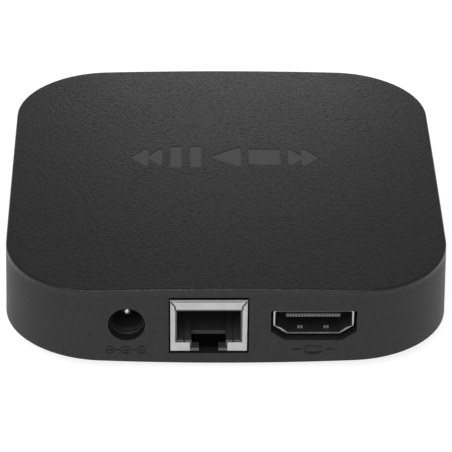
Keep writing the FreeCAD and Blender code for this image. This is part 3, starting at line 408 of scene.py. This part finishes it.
def laminate_finish():
    """Green solder mask over copper: bundles of fine tracks, with plain areas between them."""
    finish = Finish("board_laminate", IOR=1.52)
    place = finish.place()
    x, y, _ = finish.axes()
    cloud = finish.noise(place, 0.3, detail=4.0)
    along = [finish.within(finish.maths("PINGPONG", side, 0.35), 0.12, 0.26) for side in (x, y)]
    zones = finish.noise(place, 0.11, detail=0.0)
    tracks = finish.mix(finish.maths("GREATER_THAN", zones, 0.5), along[0], along[1])
    bundles = finish.spread(finish.noise(place, 0.23, detail=1.0), 0.0, 1.0, 0.46, 0.5)
    tracks = finish.maths("MULTIPLY", tracks, bundles)
    mask = finish.blend(finish.spread(cloud, 0.0, 1.0), (0.003, 0.038, 0.017), (0.006, 0.055, 0.025))
    finish.colour(finish.blend(tracks, mask, (0.012, 0.1, 0.045)))
    finish.roughness(finish.spread(cloud, 0.26, 0.38))
    finish.relief(tracks, 0.03)
    return finish.material


def label_finish():
    """Blank satin film with a thin printed frame."""
    low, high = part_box("rating_label")
    finish = Finish("label_film", IOR=1.46)
    place = finish.place()
    coordinates = finish.axes()
    inside_line = 1.0
    with_line = 1.0
    for axis in (X_AXIS, Y_AXIS):
        half = (high[axis] - low[axis]) / 2 / MM
        middle = (high[axis] + low[axis]) / 2 / MM
        offset = finish.maths("ABSOLUTE", finish.maths("SUBTRACT", coordinates[axis], middle))
        outer, inner = half - PRINTED_LINE[0], half - PRINTED_LINE[1]
        within_inner = finish.spread(offset, 1.0, 0.0, inner, inner + PRINT_BLUR)
        within_outer = finish.spread(offset, 1.0, 0.0, outer, outer + PRINT_BLUR)
        inside_line = finish.maths("MULTIPLY", inside_line, within_inner)
        with_line = finish.maths("MULTIPLY", with_line, within_outer)
    printed = finish.maths("SUBTRACT", with_line, inside_line)
    fibre = finish.noise(place, 6.0, detail=4.0)
    cloud = finish.noise(place, 0.2, detail=3.0)
    film = finish.blend(finish.spread(cloud, 0.0, 1.0), (0.31, 0.315, 0.32), (0.35, 0.355, 0.36))
    finish.colour(finish.blend(printed, film, (0.05, 0.05, 0.052)))
    finish.roughness(finish.spread(fibre, 0.36, 0.5))
    finish.relief(fibre, 0.004)
    return finish.material


def rubber_finish():
    """Matt rubber with fine moulded rings on each foot."""
    low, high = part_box("rubber_feet")
    foot_middle = (high.x - low.x) / 2 / MM - FOOT_RADIUS
    finish = Finish("foot_rubber", IOR=1.5, Specular_IOR_Level=0.35)
    x, y, _ = finish.axes()
    squares = []
    for side in (x, y):
        offset = finish.maths("SUBTRACT", finish.maths("ABSOLUTE", side), foot_middle)
        squares.append(finish.maths("POWER", finish.maths("ABSOLUTE", offset), 2.0))
    radius = finish.maths("POWER", finish.maths("ADD", squares[0], squares[1]), 0.5)
    rings = finish.maths("PINGPONG", radius, RING_STEP)
    dust = finish.noise(finish.place(), 0.5, detail=5.0, roughness=0.7)
    fine = finish.noise(finish.place(), 8.0, detail=3.0)
    share = finish.spread(dust, 0.0, 1.0)
    finish.colour(finish.blend(share, grey(0.007), (0.022, 0.022, 0.021)))
    finish.roughness(finish.spread(dust, 0.7, 0.88))
    finish.relief(finish.maths("ADD", rings, finish.maths("MULTIPLY", fine, 0.08)), 0.25)
    return finish.material


# ---------------------------------------------------------------- everything's finish

def dress(names, material):
    """Give CAD nodes a material."""
    for name in names:
        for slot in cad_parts[name].material_slots:
            slot.material = material


black_plastic = plastic_finish("black_nylon", grey(0.03), grey(0.04), 0.45)
nickel = {"dark": (0.405, 0.405, 0.4), "light": (0.5, 0.497, 0.486),
          "rough": 0.34, "lines": (0.06, 1.0, 1.0)}
shield = metal_finish("nickel_sheet", **nickel)
gold = metal_finish("gold_contact", (0.62, 0.42, 0.16), (0.83, 0.62, 0.3), 0.28)
# Pale thin gold, darkened as painted shade for the contacts deep inside the video socket.
shaded_pale_gold = metal_finish("thin_gold_contact", (0.18, 0.174, 0.158), (0.24, 0.232, 0.211), 0.42)
steel = metal_finish("black_steel", (0.05, 0.05, 0.052), (0.14, 0.14, 0.145), 0.38)
bright_steel = metal_finish("spring_wire", (0.45, 0.45, 0.46), (0.6, 0.6, 0.61), 0.28)
ridges = (1.0, 0.04, 1.0)
aluminium = metal_finish("extruded_aluminium", (0.6, 0.61, 0.62), (0.74, 0.75, 0.77), 0.36, ridges)
can = metal_finish("capacitor_can", (0.62, 0.63, 0.64), (0.75, 0.76, 0.77), 0.26)
chip = plastic_finish("chip_resin", (0.014, 0.014, 0.015), (0.022, 0.022, 0.023), 0.62)
window = plastic_finish("infrared_window", (0.003, 0.002, 0.003), (0.005, 0.003, 0.005), 0.12, 0.0005)
silicone = plastic_finish("thermal_silicone", (0.22, 0.28, 0.34), (0.3, 0.36, 0.42), 0.8)
ferrite = plastic_finish("ferrite", (0.03, 0.03, 0.033), (0.05, 0.05, 0.054), 0.7)
ceramic = plastic_finish("ceramic", (0.25, 0.17, 0.1), (0.38, 0.28, 0.18), 0.5)
lens = plastic_finish("led_lens", (0.6, 0.62, 0.65), (0.72, 0.74, 0.77), 0.15)

dress(["top_shell"], top_finish())
dress(["bottom_cover"], bottom_finish())
dress(["rubber_feet"], rubber_finish())
dress(["rating_label"], label_finish())
dress(["case_screws", "board_screws"], steel)
dress(["front_window", "ir_receiver"], window)
dress(["main_board", "wifi_board"], laminate_finish())
dress(["processor", "memory_chips", "flash_chip", "power_chips", "lan_transformer"], chip)
dress(["thermal_pad"], silicone)
dress(["heat_sink"], aluminium)
dress(["inductors"], ferrite)
dress(["filter_capacitors"], can)
dress(["chip_capacitors"], ceramic)
dress(["status_led"], lens)
dress(["card_slot_shell", "wifi_shield", "wifi_antenna", "crystal", "dc_spring_contact"], shield)
dress(["dc_pin"], metal_finish("polished_pin", (0.55, 0.55, 0.54), (0.68, 0.676, 0.66), 0.3))
# Painted shade on the network shield: a darker crease at its rounded top, a darker low lip beside the
# notch, and near black inside.
lan_painted_shade = ((network_shield_fold, 0.3), (network_shield_lip, 0.11), (network_shield_inside, 0.01))
dress(["lan_shield"], metal_finish("network_shield", **nickel, painted_shade_zones=lan_painted_shade))
# Painted shade in the video shell: darker inside, beyond its rim, and darker still on its springs'
# tips.
video_painted_shade = ((inside_of("hdmi_shell", Y_AXIS, 0.25), 0.18), (video_spring_tips, 0.085))
dress(["hdmi_shell"], metal_finish("video_shell", **nickel, painted_shade_zones=video_painted_shade))
# Painted shade inside the USB shells, beyond their rim.
for shell in ("usb1_shell", "usb2_shell"):
    zones = ((inside_of(shell, X_AXIS, 0.3), 0.11),)
    dress([shell], metal_finish(shell + "_nickel", **nickel, painted_shade_zones=zones))
dress(["lan_contacts", "usb1_contacts", "usb2_contacts", "card_slot_contacts"], gold)
dress(["hdmi_contacts"], shaded_pale_gold)
dress(["reset_dome"], bright_steel)
dress(["lan_insert"], network_insert_finish())
dress(["dc_housing"], plastic_finish("power_moulding", grey(0.022), grey(0.03), 0.5, shine=0.15))
dress(["hdmi_insulator", "usb1_insulator", "usb2_insulator",
       "card_slot_base", "card_slot_slider", "reset_switch_body", "reset_plunger"], black_plastic)


# ---------------------------------------------------------------- the card slot's spring

def slider_spring():
    """A copy of the card slot's wire spring, in bright steel, in place of the CAD node, which is
    hidden.
    """
    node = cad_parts["card_slot_spring"]
    spring = bpy.data.objects.new("slider_spring", node.data.copy())
    spring.matrix_world = node.matrix_world
    spring.data.materials.clear()
    spring.data.materials.append(bright_steel)
    bpy.context.scene.collection.objects.link(spring)
    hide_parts("card_slot_spring")
    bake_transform(spring)


slider_spring()


# ---------------------------------------------------------------- floor, light and camera

def floor_piece():
    """A large pale light table at the height of the feet's soles."""
    mesh = bpy.data.meshes.new("floor")
    shape = bmesh.new()
    bmesh.ops.create_grid(shape, x_segments=8, y_segments=8, size=TABLE_HALF)
    shape.to_mesh(mesh)
    shape.free()
    floor = bpy.data.objects.new("floor", mesh)
    floor.location.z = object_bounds()[0][2]
    bpy.context.scene.collection.objects.link(floor)
    finish = Finish("floor_paint", IOR=1.4)
    cloud = finish.noise(finish.place(), 0.004, detail=3.0)
    finish.colour(finish.blend(cloud, grey(TABLE_TONE[0]), grey(TABLE_TONE[1])))
    finish.roughness(0.9)
    finish.shader.inputs["Emission Color"].default_value = (1.0, 1.0, 1.0, 1.0)
    finish.shader.inputs["Emission Strength"].default_value = TABLE_GLOW
    mesh.materials.append(finish.material)


def sky_light():
    """A soft white surround, bright near the horizon and dimmer overhead."""
    world = bpy.data.worlds.new("studio")
    bpy.context.scene.world = world
    world.use_nodes = True
    tree = world.node_tree
    direction = tree.nodes.new("ShaderNodeTexCoord")
    split = tree.nodes.new("ShaderNodeSeparateXYZ")
    ramp = tree.nodes.new("ShaderNodeMapRange")
    ramp.interpolation_type = "SMOOTHSTEP"
    tree.links.new(direction.outputs["Generated"], split.inputs[0])
    tree.links.new(split.outputs[2], ramp.inputs["Value"])
    ramp.inputs["From Min"].default_value = SKY_EDGE[0]
    ramp.inputs["From Max"].default_value = SKY_EDGE[1]
    ramp.inputs["To Min"].default_value = SKY_STRENGTH[0]
    ramp.inputs["To Max"].default_value = SKY_STRENGTH[1]
    background = tree.nodes["Background"]
    background.inputs["Color"].default_value = (1.0, 1.0, 1.0, 1.0)
    tree.links.new(ramp.outputs[0], background.inputs["Strength"])


def softbox(name, place, aim, size, power):
    """A square lamp that the camera doesn't see."""
    lamp = bpy.data.lights.new(name, "AREA")
    lamp.shape = "SQUARE"
    lamp.size = size
    lamp.energy = power
    holder = bpy.data.objects.new(name, lamp)
    holder.location = place
    holder.rotation_euler = (Vector(aim) - Vector(place)).to_track_quat("-Z", "Y").to_euler()
    holder.visible_camera = False
    bpy.context.scene.collection.objects.link(holder)


def main_camera():
    """The camera, looking down at the wall with the sockets."""
    away = Vector((
        math.cos(VIEW_ELEVATION) * math.sin(VIEW_AZIMUTH),
        -math.cos(VIEW_ELEVATION) * math.cos(VIEW_AZIMUTH),
        math.sin(VIEW_ELEVATION),
    ))
    level_right = Vector((math.cos(VIEW_AZIMUTH), math.sin(VIEW_AZIMUTH), 0.0))
    level_up = away.cross(level_right)
    right = level_right * math.cos(VIEW_ROLL) + level_up * math.sin(VIEW_ROLL)
    up = away.cross(right)
    turn = Matrix((right, up, away)).transposed().to_4x4()
    lens = bpy.data.cameras.new("camera")
    lens.sensor_width = SENSOR_WIDTH
    lens.lens = LENS
    lens.clip_start = NEAREST
    holder = bpy.data.objects.new("camera", lens)
    holder.matrix_world = Matrix.Translation(VIEW_TARGET + away * VIEW_DISTANCE) @ turn
    bpy.context.scene.collection.objects.link(holder)
    bpy.context.scene.camera = holder


floor_piece()
sky_light()
for softbox_facts in SOFTBOXES:
    softbox(*softbox_facts)
main_camera()
bpy.context.scene.view_settings.view_transform = "Standard"
